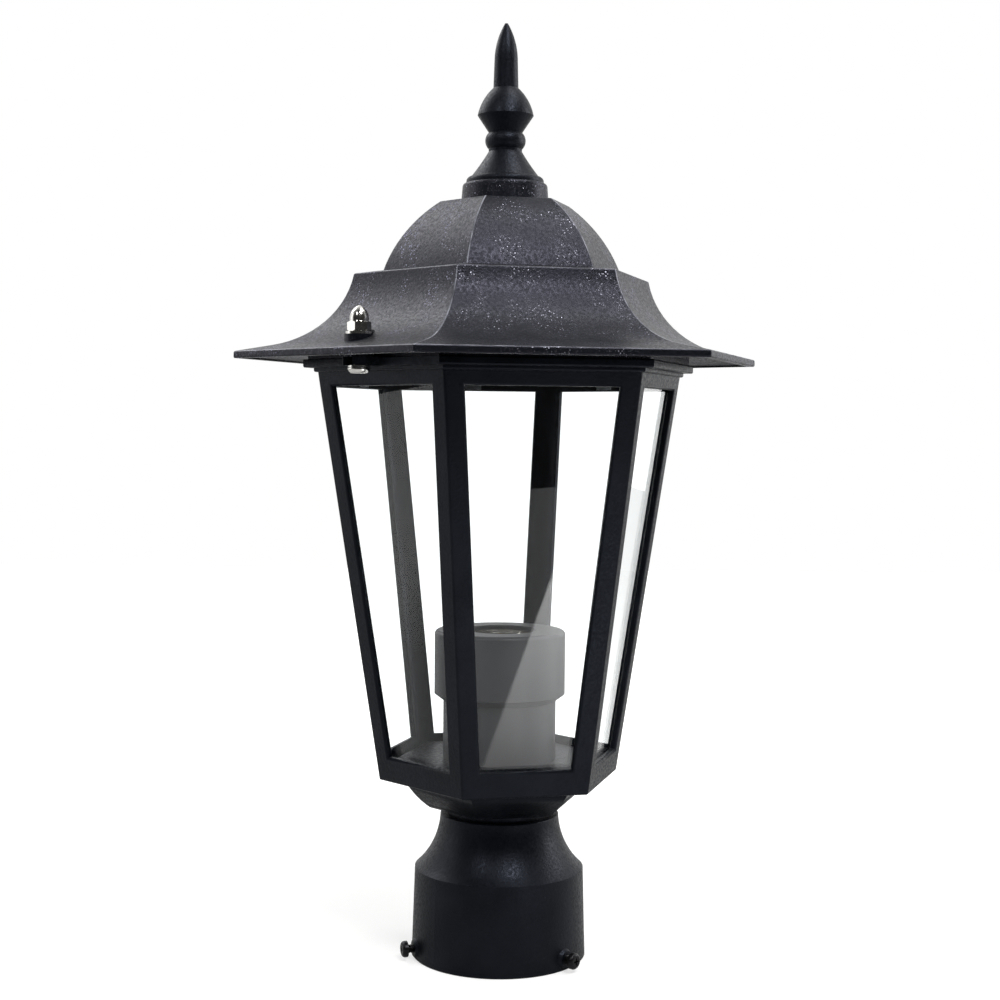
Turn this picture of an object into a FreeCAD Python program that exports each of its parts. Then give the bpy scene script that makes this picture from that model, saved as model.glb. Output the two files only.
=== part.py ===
import FreeCAD, Part
import math
import os

# Hexagonal post-top lantern. Millimetres and degrees.
# +Z is up, the origin is the centre of the collar's bottom rim, and hexagon corners lie on +X and -X.
# An apothem is the distance from the axis to the middle of a hexagon's side.

# Post collar
collar_bore_radius = 31.2
collar_rim_radius = 35.9
collar_shoulder_radius = 34.8
collar_skirt_height = 36.6
collar_neck_radius = 24.4
collar_neck_z = 59.0
collar_neck_edge = 0.6
collar_flare_radius = 31.3
collar_spigot_radius = 21.4
collar_spigot_height = 2.6
collar_wall = 3.2
collar_web = 4.2
collar_rim_chamfer = 0.4
collar_turn = 5.3

# Set screws
screw_count = 3
screw_z = 4.7
screw_shank_radius = 1.75
screw_head_radius = 3.3
screw_head_height = 2.3
screw_stand_out = 2.6
screw_boss_radius = 3.3
screw_boss_root_radius = 4.7
screw_boss_height = 1.0
screw_tip_setback = 0.3
screw_thread_clearance = 0.1

# Driving recess and head shape shared by the screws, as shares of a head's radius or height
recess_width = 0.9
recess_depth = 1.2
recess_span = 1.1
head_side_share = 0.45
head_brow_radius_share = 0.86
head_brow_height_share = 0.84
head_flat_share = 0.5

# Cage
cage_wall = 2.6
cage_bottom_apothem = 43.65
cage_top_apothem = 66.1
bowl_bottom_apothem = 25.1
bowl_top_apothem = 33.8
bowl_arc_height = 10.4
bowl_arc_radius = 35.0
bowl_band_height = 2.1
bowl_web = 3.0
ledge_height = 3.0
sill_height = 10.3
window_height = 149.2
head_rail_height = 5.8
post_face_width = 7.7
window_bevel = 0.7
cornice_lower_step = 1.25
cornice_lower_height = 1.7
cornice_upper_step = 3.7
cornice_upper_height = 3.3

# Roof
roof_wall = 2.8
brim_overhang = 23.95
brim_edge_height = 2.8
brim_width = 13.0
brim_slope = 11.5
brim_lip = 3.0
brim_edge_round = 0.6
cove_width = 28.2
cove_height = 28.45
cove_lip = 0.7
roof_ledge_width = 10.4
roof_ledge_rise = 1.6
dome_run = 20.2
dome_height = 28.5
dome_radius = 57.1
crown_radius = 17.9
crown_top_radius = 17.2
crown_edge = 1.3
crown_height = 7.9
seat_setback = 1.4
seat_width = 3.0

# Roof fixings
bolt_angles = (0, 180)
bolt_stand_off = 4.35
bolt_radius = 2.5
bolt_hole_clearance = 0.25
bolt_head_radius = 4.25
bolt_head_height = 3.0
bolt_head_side_share = 0.2
pad_radius = 5.8
pad_height = 8.6
ear_radius = 6.2
washer_radius = 5.2
washer_thickness = 1.0
nut_flats = 8.0
nut_hex_height = 4.0
nut_dome_radius = 3.6
nut_height = 10.0
nut_thread_depth = 7.4
nut_thread_clearance = 0.1
nut_chamfer = 0.6
nut_brow_radius = 2.65
nut_brow_height = 4.0
bolt_grip_in_nut = 6.8

# Finial
finial_foot_radius = 15.8
finial_foot_height = 2.7
finial_bell_radius = 13.9
finial_bell_height = 10.2
finial_bell_dip = 0.25
finial_neck_radius = 6.8
finial_neck_height = 1.1
finial_bead_radius = 8.25
finial_bead_height = 6.6
finial_bulb_radius = 11.4
finial_bulb_lower_height = 6.9
finial_bulb_upper_height = 11.1
finial_bulb_brow_radius = 9.9
finial_bulb_brow_height = 4.6
finial_spike_radius = 5.1
finial_spike_height = 26.0
finial_shoulder_radius = 4.75
finial_shoulder_height = 11.3
finial_point_brow_radius = 3.6
finial_point_brow_height = 19.0
finial_tip_radius = 0.6
finial_screw_radius = 2.5
finial_screw_head_radius = 4.6
finial_screw_head_height = 2.8
finial_screw_grip = 9.0
finial_screw_spare = 1.0

# Glazing
pane_thickness = 2.5
pane_clearance = 0.2
pane_corner_clearance = 0.3
pane_top_clearance = 0.9
clip_thickness = 0.8
clip_width = 8.0
clip_clearance = 0.05
clip_top_setback = 0.8
clip_knee_drop = 0.3
clip_screw_radius = 1.25
clip_screw_clearance = 0.1
clip_screw_head_radius = 2.2
clip_screw_head_height = 1.5
clip_screw_grip = 3.2
clip_screw_below_seat = 2.2

# Floor pan
pan_thickness = 1.2
pan_top_below_sill = 2.4
pan_clearance = 0.3
earth_screw_radius = 2.0
earth_screw_head_radius = 4.0
earth_screw_head_height = 2.4
earth_screw_grip = 6.0
earth_screw_gap = 1.2
earth_screw_angle = 120.0

# Lamp holder
holder_cap_radius = 22.6
holder_cap_height = 24.0
holder_cap_wall = 2.6
holder_cap_base = 3.5
holder_collar_height = 5.5
holder_skirt_radius = 26.3
holder_skirt_taper = 2.8
holder_skirt_height = 28.9
holder_skirt_wall = 2.5
holder_rim_round = 1.6
holder_mouth_radius = 14.9
holder_clearance = 0.2
block_step = 14.0
block_seat_width = 4.0
block_thickness = 11.5
block_well_radius = 7.6
block_well_depth = 4.0
shell_radius = 13.3
shell_wall = 0.4
shell_setback = 1.5
shell_floor_hole = 8.2
contact_width = 6.0
contact_thickness = 0.6
contact_length = 12.0
contact_foot = 4.2
contact_lip = 3.3
contact_rise = 3.5
terminal_radius = 1.75
terminal_head_radius = 3.2
terminal_head_height = 2.0
terminal_gap = 1.25
terminal_grip = 5.0
terminal_spare = 1.0

# Hollow nipple and its nuts
nipple_radius = 4.9
nipple_bore = 3.6
nipple_below_web = 7.0
nipple_above_floor = 11.0
nipple_hole_clearance = 0.2
nipple_nut_flats = 14.0
nipple_nut_height = 3.5
nipple_washer_radius = 8.0
nipple_washer_thickness = 1.0

# Heights that follow from the sizes above
bowl_bottom_z = collar_neck_z + collar_spigot_height
ring_z = bowl_bottom_z + bowl_arc_height + bowl_band_height
ledge_z = ring_z + ledge_height
sill_z = ring_z + sill_height
head_z = sill_z + window_height
cornice_z = head_z + head_rail_height
ear_z = cornice_z + cornice_lower_height
seat_z = ear_z + cornice_upper_height
rim_z = seat_z + brim_edge_height
pan_z = sill_z - pan_top_below_sill
cap_top_z = pan_z + holder_cap_height
skirt_top_z = cap_top_z + holder_skirt_height
cap_floor_z = pan_z + holder_cap_base
block_z = pan_z + block_step
block_top_z = block_z + block_thickness
pad_z = seat_z + pad_height

# Places that follow from the lamp holder's cap
earth_screw_offset = holder_cap_radius + earth_screw_gap + earth_screw_head_radius
holder_spigot_radius = holder_cap_radius - holder_skirt_wall / 2
cap_bore_radius = holder_spigot_radius - holder_cap_wall
cap_well_radius = cap_bore_radius - block_seat_width
terminal_offset = cap_well_radius - terminal_gap - terminal_head_radius

# Apothems that follow from the cage's
cornice_lower_apothem = cage_top_apothem + cornice_lower_step
cornice_upper_apothem = cornice_lower_apothem + cornice_upper_step
seat_apothem = cornice_upper_apothem - seat_setback - seat_width
bolt_apothem = cornice_upper_apothem + bolt_stand_off
brim_apothem = cornice_upper_apothem + brim_overhang
cove_top_apothem = brim_apothem - brim_width - cove_width
dome_base_apothem = cove_top_apothem - roof_ledge_width
dome_top_apothem = dome_base_apothem - dome_run

# Cove arc, in the plane of a side's apothem: it leaves the brim along its slope
slope = math.radians(brim_slope)
cove_lift = cove_height * math.cos(slope) - cove_width * math.sin(slope)
cove_radius = (cove_width ** 2 + cove_height ** 2) / (2 * cove_lift)
cove_foot_a = brim_apothem - brim_width
cove_foot_z = rim_z + brim_width * math.tan(slope)
cove_centre_a = cove_foot_a + cove_radius * math.sin(slope)
cove_centre_z = cove_foot_z + cove_radius * math.cos(slope)
cove_top_z = cove_foot_z + cove_height
ledge_edge_z = cove_top_z + cove_lip
dome_base_z = ledge_edge_z + roof_ledge_rise
dome_top_z = dome_base_z + dome_height
crown_z = dome_top_z + crown_height

cage_slope = (cage_top_apothem - cage_bottom_apothem) / (cornice_z - ring_z)
cage_tilt = math.atan(cage_slope)
side_angles = [60 * index for index in range(6)]
axis_up = FreeCAD.Vector(0, 0, 1)
centre = FreeCAD.Vector(0, 0, 0)
hex_side = 1 / math.cos(math.radians(30))
level_tolerance = 0.001


def arc_centres(first, second, radius):
    # Centres of the two arcs of this radius through two points, the one nearer the axis first.
    middle_a = (first[0] + second[0]) / 2
    middle_z = (first[1] + second[1]) / 2
    run = second[0] - first[0]
    rise = second[1] - first[1]
    chord = math.hypot(run, rise)
    reach = math.sqrt(radius ** 2 - (chord / 2) ** 2)
    one = (middle_a - reach * rise / chord, middle_z + reach * run / chord)
    other = (middle_a + reach * rise / chord, middle_z - reach * run / chord)
    return sorted([one, other])


bowl_foot = (bowl_bottom_apothem, bowl_bottom_z)
bowl_brow = (bowl_top_apothem, bowl_bottom_z + bowl_arc_height)
bowl_centre = arc_centres(bowl_foot, bowl_brow, bowl_arc_radius)[0]
dome_foot = (dome_base_apothem, dome_base_z)
dome_brow = (dome_top_apothem, dome_top_z)
dome_centre = arc_centres(dome_foot, dome_brow, dome_radius)[0]


def outer_at(circle, radius, z):
    # Far side of a circle at a height.
    return circle[0] + math.sqrt(radius ** 2 - (z - circle[1]) ** 2)


def wall_apothem(z, depth=0.0):
    # Apothem of the cage wall at a height, at a depth square to the wall.
    return cage_bottom_apothem + cage_slope * (z - ring_z) - depth / math.cos(cage_tilt)


def turned(shape, angle):
    copy = shape.copy()
    copy.rotate(centre, axis_up, angle)
    return copy


def in_side_plane(point):
    return FreeCAD.Vector(0, -point[0], point[1])


def profile_edges(steps):
    # A step is a point (apothem, height), or ("arc", middle point, end point).
    edges = []
    last = steps[0]
    for step in steps[1:]:
        if step[0] == "arc":
            arc = Part.Arc(in_side_plane(last), in_side_plane(step[1]), in_side_plane(step[2]))
            edges.append(arc.toShape())
            last = step[2]
        else:
            edges.append(Part.makeLine(in_side_plane(last), in_side_plane(step)))
            last = step
    return edges


def arc_step(circle, radius, start, end):
    # Arc about a centre from one point to another, by its middle.
    begin = math.atan2(start[1] - circle[1], start[0] - circle[0])
    finish = math.atan2(end[1] - circle[1], end[0] - circle[0])
    if finish - begin > math.pi:
        finish -= 2 * math.pi
    if begin - finish > math.pi:
        finish += 2 * math.pi
    half = (begin + finish) / 2
    middle = (circle[0] + radius * math.cos(half), circle[1] + radius * math.sin(half))
    return ("arc", middle, end)


def mitred(steps):
    # Solid whose level sections are regular hexagons: three extrusions of one profile, mitred.
    half = profile_edges(steps)
    mirrored = [edge.mirror(centre, FreeCAD.Vector(0, 1, 0)) for edge in half]
    wire = Part.Wire(Part.sortEdges(half + mirrored)[0])
    reach = max(edge.BoundBox.YLength + abs(edge.BoundBox.YMin) for edge in half) * 2
    face = Part.Face(wire)
    face.translate(FreeCAD.Vector(-reach, 0, 0))
    bar = face.extrude(FreeCAD.Vector(2 * reach, 0, 0))
    return bar.common(turned(bar, 60)).common(turned(bar, 120)).removeSplitter()


def revolved(steps):
    edges = profile_edges(steps + [steps[0]])
    face = Part.Face(Part.Wire(edges))
    return face.revolve(centre, axis_up, 360)


def hex_prism(apothem, low, high):
    corners = []
    for angle in side_angles + [0]:
        radians = math.radians(angle)
        radius = apothem * hex_side
        corners.append(FreeCAD.Vector(radius * math.cos(radians), radius * math.sin(radians), low))
    return Part.Face(Part.makePolygon(corners)).extrude(FreeCAD.Vector(0, 0, high - low))


def post(radius, low, high):
    return Part.makeCylinder(radius, high - low, FreeCAD.Vector(0, 0, low), axis_up)


def cone(low_radius, high_radius, low, high):
    return Part.makeCone(low_radius, high_radius, high - low, FreeCAD.Vector(0, 0, low), axis_up)


def moved(shape, x, y, z):
    copy = shape.copy()
    copy.translate(FreeCAD.Vector(x, y, z))
    return copy


def cross_recess(head_radius, top):
    # Cross-shaped driving recess that opens upwards at a height.
    arm = head_radius * recess_span
    bar = Part.makeBox(arm, recess_width, recess_depth)
    bar.translate(FreeCAD.Vector(-arm / 2, -recess_width / 2, top - recess_depth))
    return bar.fuse(turned(bar, 90))


def pan_screw(shank_radius, length, head_radius, head_height, side_share=head_side_share):
    # Pan-head screw that points down: bearing face at zero, head above.
    brow = (head_radius * head_brow_radius_share, head_height * head_brow_height_share)
    return revolved([
        (0, -length),
        (shank_radius, -length),
        (shank_radius, 0),
        (head_radius, 0),
        (head_radius, head_height * side_share),
        ("arc", brow, (head_radius * head_flat_share, head_height)),
        (0, head_height),
    ])


def laid_radially(shape):
    # Turns a piece whose axis points up so that it points along +X.
    copy = shape.copy()
    copy.rotate(centre, FreeCAD.Vector(0, 1, 0), 90)
    return copy


def on_side(shape, depth, z):
    # Stands a piece made in the plane of +X and +Y against the tilted wall on the -Y side.
    copy = shape.copy()
    copy.rotate(centre, FreeCAD.Vector(1, 0, 0), 90 + math.degrees(cage_tilt))
    copy.translate(FreeCAD.Vector(0, -wall_apothem(z, depth), z))
    return copy


def trapezoid(low_half, low, high_half, high, z):
    corners = [
        FreeCAD.Vector(-low_half, low, z),
        FreeCAD.Vector(low_half, low, z),
        FreeCAD.Vector(high_half, high, z),
        FreeCAD.Vector(-high_half, high, z),
        FreeCAD.Vector(-low_half, low, z),
    ]
    return Part.makePolygon(corners)


def screw_radius_out():
    # Radius of the bearing face of a set screw's head in its rest place.
    return collar_wall_at(screw_z) + screw_boss_height + screw_stand_out


def collar_wall_at(z):
    share = z / collar_skirt_height
    return collar_rim_radius + (collar_shoulder_radius - collar_rim_radius) * share


def screw_angles():
    return [collar_turn + 360 / screw_count * index for index in range(screw_count)]


def make_collar():
    shoulder = (collar_shoulder_radius, collar_skirt_height)
    throat = (collar_neck_radius, collar_neck_z - collar_neck_edge)
    flare_centre = arc_centres(shoulder, throat, collar_flare_radius)[1]
    inner_radius = collar_flare_radius + collar_wall
    web_z = bowl_bottom_z - collar_web
    bore_drop = math.sqrt(inner_radius ** 2 - (flare_centre[0] - collar_bore_radius) ** 2)
    bore_top = (collar_bore_radius, flare_centre[1] - bore_drop)
    web_reach = flare_centre[0] - math.sqrt(inner_radius ** 2 - (web_z - flare_centre[1]) ** 2)
    edge = collar_neck_edge
    edge_corner = (collar_neck_radius - edge, collar_neck_z - edge)
    hole = nipple_radius + nipple_hole_clearance
    steps = [
        (collar_bore_radius, 0),
        (collar_rim_radius - collar_rim_chamfer, 0),
        (collar_rim_radius, collar_rim_chamfer),
        shoulder,
        arc_step(flare_centre, collar_flare_radius, shoulder, throat),
        arc_step(edge_corner, edge, throat, (collar_neck_radius - edge, collar_neck_z)),
        (collar_spigot_radius, collar_neck_z),
        (collar_spigot_radius, bowl_bottom_z),
        (hole, bowl_bottom_z),
        (hole, web_z),
        (web_reach, web_z),
        arc_step(flare_centre, inner_radius, (web_reach, web_z), bore_top),
    ]
    collar = revolved(steps)
    boss_face = collar_wall_at(screw_z) + screw_boss_height
    boss_root = boss_face - 2 * screw_boss_height
    boss = cone(screw_boss_root_radius, screw_boss_radius, boss_root, boss_face)
    hole = post(screw_shank_radius + screw_thread_clearance, collar_bore_radius / 2, boss_face)
    for angle in screw_angles():
        placed = moved(laid_radially(boss), 0, 0, screw_z)
        collar = collar.fuse(turned(placed, angle))
    for angle in screw_angles():
        placed = moved(laid_radially(hole), 0, 0, screw_z)
        collar = collar.cut(turned(placed, angle))
    below = post(collar_rim_radius * 2, -collar_rim_radius, 0)
    return collar.cut(below).removeSplitter()


def make_set_screw(angle):
    bearing = screw_radius_out()
    length = bearing - collar_bore_radius - screw_tip_setback
    screw = pan_screw(screw_shank_radius, length, screw_head_radius, screw_head_height)
    screw = screw.cut(cross_recess(screw_head_radius, screw_head_height))
    screw = moved(laid_radially(screw), bearing, 0, screw_z)
    return turned(screw, angle)


def window_half(z):
    return wall_apothem(z) * hex_side / 2 - post_face_width


def window_cut():
    # Tapered opening in the wall on the -Y side, with a bevel round its outer edge.
    rise = window_height / math.cos(cage_tilt)
    low_half = window_half(sill_z)
    high_half = window_half(head_z)
    wide = window_bevel
    inner = trapezoid(low_half, 0, high_half, rise, -cage_wall * 3)
    mouth = trapezoid(low_half, 0, high_half, rise, -window_bevel)
    flare = trapezoid(low_half + 2 * wide, -2 * wide, high_half + 2 * wide, rise + 2 * wide, window_bevel)
    through = Part.Face(inner).extrude(FreeCAD.Vector(0, 0, cage_wall * 6))
    bevel = Part.makeLoft([mouth, flare], True, True)
    return on_side(through.fuse(bevel), 0, sill_z)


def ear_face():
    reach = bolt_apothem
    inner = cornice_upper_apothem - cage_wall
    edges = [
        Part.makeLine(FreeCAD.Vector(-ear_radius, -inner, ear_z), FreeCAD.Vector(-ear_radius, -reach, ear_z)),
        Part.Arc(FreeCAD.Vector(-ear_radius, -reach, ear_z), FreeCAD.Vector(0, -reach - ear_radius, ear_z),
                 FreeCAD.Vector(ear_radius, -reach, ear_z)).toShape(),
        Part.makeLine(FreeCAD.Vector(ear_radius, -reach, ear_z), FreeCAD.Vector(ear_radius, -inner, ear_z)),
        Part.makeLine(FreeCAD.Vector(ear_radius, -inner, ear_z), FreeCAD.Vector(-ear_radius, -inner, ear_z)),
    ]
    return Part.Face(Part.Wire(edges))


def make_cage():
    outside = mitred([
        (0, bowl_bottom_z),
        bowl_foot,
        arc_step(bowl_centre, bowl_arc_radius, bowl_foot, bowl_brow),
        (bowl_top_apothem, ring_z),
        (cage_bottom_apothem, ring_z),
        (cage_top_apothem, cornice_z),
        (cornice_lower_apothem, cornice_z),
        (cornice_lower_apothem, ear_z),
        (cornice_upper_apothem, ear_z),
        (cornice_upper_apothem, seat_z),
        (0, seat_z),
    ])
    inner_radius = bowl_arc_radius - cage_wall
    web_z = bowl_bottom_z + bowl_web
    inner_foot = (outer_at(bowl_centre, inner_radius, web_z), web_z)
    inner_brow = (outer_at(bowl_centre, inner_radius, bowl_brow[1]), bowl_brow[1])
    inside = mitred([
        (0, web_z),
        inner_foot,
        arc_step(bowl_centre, inner_radius, inner_foot, inner_brow),
        (inner_brow[0], ledge_z),
        (wall_apothem(ledge_z, cage_wall), ledge_z),
        (wall_apothem(seat_z, cage_wall), seat_z),
        (0, seat_z),
    ])
    cage = outside.cut(inside)
    opening = window_cut()
    cage = cage.cut([turned(opening, angle) for angle in side_angles])
    ear = ear_face().extrude(FreeCAD.Vector(0, 0, cornice_upper_height))
    slot_half = bolt_radius + bolt_hole_clearance
    slot = Part.makeBox(2 * slot_half, ear_radius * 2, cornice_upper_height)
    slot.translate(FreeCAD.Vector(-slot_half, -bolt_apothem - ear_radius * 2, ear_z))
    slot = slot.fuse(moved(post(slot_half, ear_z, seat_z), 0, -bolt_apothem, 0))
    for angle in bolt_angles:
        cage = cage.fuse(turned(ear, angle)).cut(turned(slot, angle))
    cage = cage.cut(post(nipple_radius + nipple_hole_clearance, 0, ledge_z))
    for angle in side_angles:
        cage = cage.cut(turned(clip_screw_hole(), angle))
    return cage.removeSplitter()


def clip_screw_hole():
    bearing = clip_clearance + clip_thickness
    hole = post(clip_screw_radius + clip_screw_clearance, -clip_screw_grip - clip_screw_clearance, bearing)
    return facing_in(hole, cage_wall + bearing)


def facing_in(shape, depth):
    # Stands a piece whose axis points up on the wall of the -Y side at a depth, pointing at the axis.
    copy = moved(shape, 0, 0, depth)
    copy.rotate(centre, FreeCAD.Vector(1, 0, 0), -90 + math.degrees(cage_tilt))
    z = seat_z - clip_screw_below_seat
    copy.translate(FreeCAD.Vector(0, -wall_apothem(z), z))
    return copy


def make_clip():
    # Sprung strip: flat on the inner wall above the pane, then stepped in over the glass.
    wall_gap = cage_wall + clip_clearance
    glass_gap = cage_wall + pane_clearance + pane_thickness + clip_clearance
    top = seat_z - clip_top_setback
    knee = cornice_z - clip_knee_drop
    low = head_z + clip_thickness
    outline = [
        (wall_apothem(top, wall_gap), top),
        (wall_apothem(knee, wall_gap), knee),
        (wall_apothem(knee, glass_gap), knee),
        (wall_apothem(low, glass_gap), low),
        (wall_apothem(low, glass_gap + clip_thickness), low),
        (wall_apothem(knee + clip_thickness, glass_gap + clip_thickness), knee + clip_thickness),
        (wall_apothem(knee + clip_thickness, wall_gap + clip_thickness), knee + clip_thickness),
        (wall_apothem(top, wall_gap + clip_thickness), top),
    ]
    edges = profile_edges(outline + [outline[0]])
    face = Part.Face(Part.Wire(edges))
    face.translate(FreeCAD.Vector(-clip_width / 2, 0, 0))
    clip = face.extrude(FreeCAD.Vector(clip_width, 0, 0))
    return clip.cut(clip_screw_hole())


def make_clip_screw():
    screw = pan_screw(clip_screw_radius, clip_screw_grip, clip_screw_head_radius, clip_screw_head_height)
    return facing_in(screw, cage_wall + clip_clearance + clip_thickness)


def make_pane():
    outer_depth = cage_wall + pane_clearance
    inner_depth = outer_depth + pane_thickness
    low = ledge_z
    high = cornice_z - pane_top_clearance
    rise = (high - low) / math.cos(cage_tilt)
    low_half = wall_apothem(low, inner_depth) * hex_side / 2 - pane_corner_clearance
    high_half = wall_apothem(high, inner_depth) * hex_side / 2 - pane_corner_clearance
    face = Part.Face(trapezoid(low_half, 0, high_half, rise, 0))
    pane = face.extrude(FreeCAD.Vector(0, 0, -pane_thickness))
    return on_side(pane, outer_depth, low)


def bolt_hole(low, high):
    hole = post(bolt_radius + bolt_hole_clearance, low, high)
    return moved(hole, 0, -bolt_apothem, 0)


def level_edges(shape, z):
    # Edges that lie level at a height.
    return [edge for edge in shape.Edges if all(abs(end.Z - z) < level_tolerance for end in edge.Vertexes)]


def cove_height_at(apothem, radius):
    # Height of a cove arc of this radius, about the cove's centre.
    return cove_centre_z - math.sqrt(radius ** 2 - (cove_centre_a - apothem) ** 2)


def make_roof():
    cove_circle = (cove_centre_a, cove_centre_z)
    cove_foot = (cove_foot_a, cove_foot_z)
    cove_head = (cove_top_apothem, cove_top_z)
    outside = mitred([
        (0, seat_z),
        (brim_apothem, seat_z),
        (brim_apothem, rim_z),
        cove_foot,
        arc_step(cove_circle, cove_radius, cove_foot, cove_head),
        (cove_top_apothem, ledge_edge_z),
        dome_foot,
        arc_step(dome_centre, dome_radius, dome_foot, dome_brow),
        (0, dome_top_z),
    ])
    outside = outside.makeFillet(brim_edge_round, level_edges(outside, seat_z) + level_edges(outside, rim_z))
    under_radius = cove_radius + roof_wall
    under_foot_a = cove_centre_a - under_radius * math.sin(slope)
    under_foot = (under_foot_a, cove_centre_z - under_radius * math.cos(slope))
    trough_a = brim_apothem - brim_lip
    trough_z = under_foot[1] - (trough_a - under_foot[0]) * math.tan(slope)
    under_ledge_z = ledge_edge_z - roof_wall
    under_reach = math.sqrt(under_radius ** 2 - (cove_centre_z - under_ledge_z) ** 2)
    under_head = (cove_centre_a - under_reach, under_ledge_z)
    seat_outer = seat_apothem + seat_width
    inner_dome = dome_radius - roof_wall
    inner_base_z = dome_base_z - roof_wall
    inner_top_z = dome_top_z - roof_wall
    inner_foot = (outer_at(dome_centre, inner_dome, inner_base_z), inner_base_z)
    inner_brow = (outer_at(dome_centre, inner_dome, inner_top_z), inner_top_z)
    inside = mitred([
        (0, seat_z),
        (trough_a, seat_z),
        (trough_a, trough_z),
        under_foot,
        arc_step(cove_circle, under_radius, under_foot, under_head),
        inner_foot,
        arc_step(dome_centre, inner_dome, inner_foot, inner_brow),
        (0, inner_top_z),
    ])
    seat_top_z = (cove_height_at(seat_apothem, under_radius) + cove_height_at(seat_outer, cove_radius)) / 2
    seat = hex_prism(seat_outer, seat_z, seat_top_z).cut(hex_prism(seat_apothem, seat_z, seat_top_z))
    roof = outside.cut(inside).fuse(seat)
    pad = moved(post(pad_radius, seat_z, pad_z), 0, -bolt_apothem, 0)
    spot_face = moved(post(pad_radius, pad_z, dome_top_z), 0, -bolt_apothem, 0)
    for angle in bolt_angles:
        roof = roof.fuse(turned(pad, angle)).cut(turned(spot_face, angle))
        roof = roof.cut(turned(bolt_hole(seat_z, pad_z), angle))
    brow_centre = (crown_top_radius - crown_edge, crown_z - crown_edge)
    brow_start = (crown_top_radius, crown_z - crown_edge)
    crown = revolved([
        (0, dome_top_z),
        (crown_radius, dome_top_z),
        brow_start,
        arc_step(brow_centre, crown_edge, brow_start, (brow_centre[0], crown_z)),
        (0, crown_z),
    ])
    roof = roof.fuse(crown)
    roof = roof.cut(post(finial_screw_radius + bolt_hole_clearance, inner_top_z, crown_z))
    return roof.removeSplitter()


def make_finial():
    base = crown_z
    bell_z = base + finial_foot_height
    neck_z = bell_z + finial_bell_height
    bead_z = neck_z + finial_neck_height
    bulb_z = bead_z + finial_bead_height
    equator_z = bulb_z + finial_bulb_lower_height
    spike_z = equator_z + finial_bulb_upper_height
    tip_z = spike_z + finial_spike_height
    bell_foot = (finial_bell_radius, bell_z)
    bell_head = (finial_neck_radius, neck_z)
    bell_middle = ((bell_foot[0] + bell_head[0]) / 2 - finial_bell_dip, (bell_foot[1] + bell_head[1]) / 2)
    foot_edge = finial_foot_radius - finial_bell_radius
    edge_centre = (finial_bell_radius, bell_z - foot_edge)
    bulb_brow = (finial_bulb_brow_radius, equator_z + finial_bulb_brow_height)
    point_brow = (finial_point_brow_radius, spike_z + finial_point_brow_height)
    finial = revolved([
        (0, base),
        (finial_foot_radius, base),
        (finial_foot_radius, bell_z - foot_edge),
        arc_step(edge_centre, foot_edge, (finial_foot_radius, bell_z - foot_edge), bell_foot),
        ("arc", bell_middle, bell_head),
        (finial_neck_radius, bead_z),
        ("arc", (finial_bead_radius, bead_z + finial_bead_height / 2), (finial_neck_radius, bulb_z)),
        (finial_bulb_radius, equator_z),
        ("arc", bulb_brow, (finial_spike_radius, spike_z)),
        (finial_shoulder_radius, spike_z + finial_shoulder_height),
        ("arc", point_brow, (finial_tip_radius, tip_z)),
        (0, tip_z),
    ])
    hole_top = base + finial_screw_grip + finial_screw_spare
    return finial.cut(post(finial_screw_radius + nut_thread_clearance, base, hole_top))


def make_finial_washer():
    top = dome_top_z - roof_wall
    washer = post(washer_radius, top - washer_thickness, top)
    return washer.cut(post(finial_screw_radius + bolt_hole_clearance, 0, top))


def make_finial_screw():
    bearing = dome_top_z - roof_wall - washer_thickness
    length = crown_z + finial_screw_grip - bearing
    screw = pan_screw(finial_screw_radius, length, finial_screw_head_radius, finial_screw_head_height)
    screw = screw.cut(cross_recess(finial_screw_head_radius, finial_screw_head_height))
    screw.rotate(centre, FreeCAD.Vector(1, 0, 0), 180)
    return moved(screw, 0, 0, bearing)


def make_roof_bolt():
    length = pad_z + washer_thickness + bolt_grip_in_nut - ear_z
    bolt = pan_screw(bolt_radius, length, bolt_head_radius, bolt_head_height, bolt_head_side_share)
    bolt = bolt.cut(cross_recess(bolt_head_radius, bolt_head_height))
    bolt.rotate(centre, FreeCAD.Vector(1, 0, 0), 180)
    return moved(bolt, 0, -bolt_apothem, ear_z)


def make_roof_washer():
    washer = post(washer_radius, pad_z, pad_z + washer_thickness)
    washer = washer.cut(post(bolt_radius + bolt_hole_clearance, 0, pad_z * 2))
    return moved(washer, 0, -bolt_apothem, 0)


def make_acorn_nut():
    low = pad_z + washer_thickness
    hexagon = hex_prism(nut_flats / 2, low, low + nut_hex_height)
    corner = nut_flats / 2 * hex_side
    chamfer = revolved([
        (0, low),
        (nut_flats / 2, low),
        (corner, low + nut_chamfer),
        (corner, low + nut_hex_height - nut_chamfer),
        (nut_dome_radius, low + nut_hex_height),
        (0, low + nut_hex_height),
    ])
    neck_z = low + nut_hex_height
    top_z = low + nut_height
    brow = (nut_brow_radius, neck_z + nut_brow_height)
    dome = revolved([
        (0, neck_z - nut_hex_height / 2),
        (nut_dome_radius, neck_z - nut_hex_height / 2),
        (nut_dome_radius, neck_z),
        ("arc", brow, (0, top_z)),
    ])
    nut = hexagon.common(chamfer).fuse(dome).removeSplitter()
    thread = post(bolt_radius + nut_thread_clearance, low, low + nut_thread_depth)
    return moved(nut.cut(thread), 0, -bolt_apothem, 0)


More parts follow.
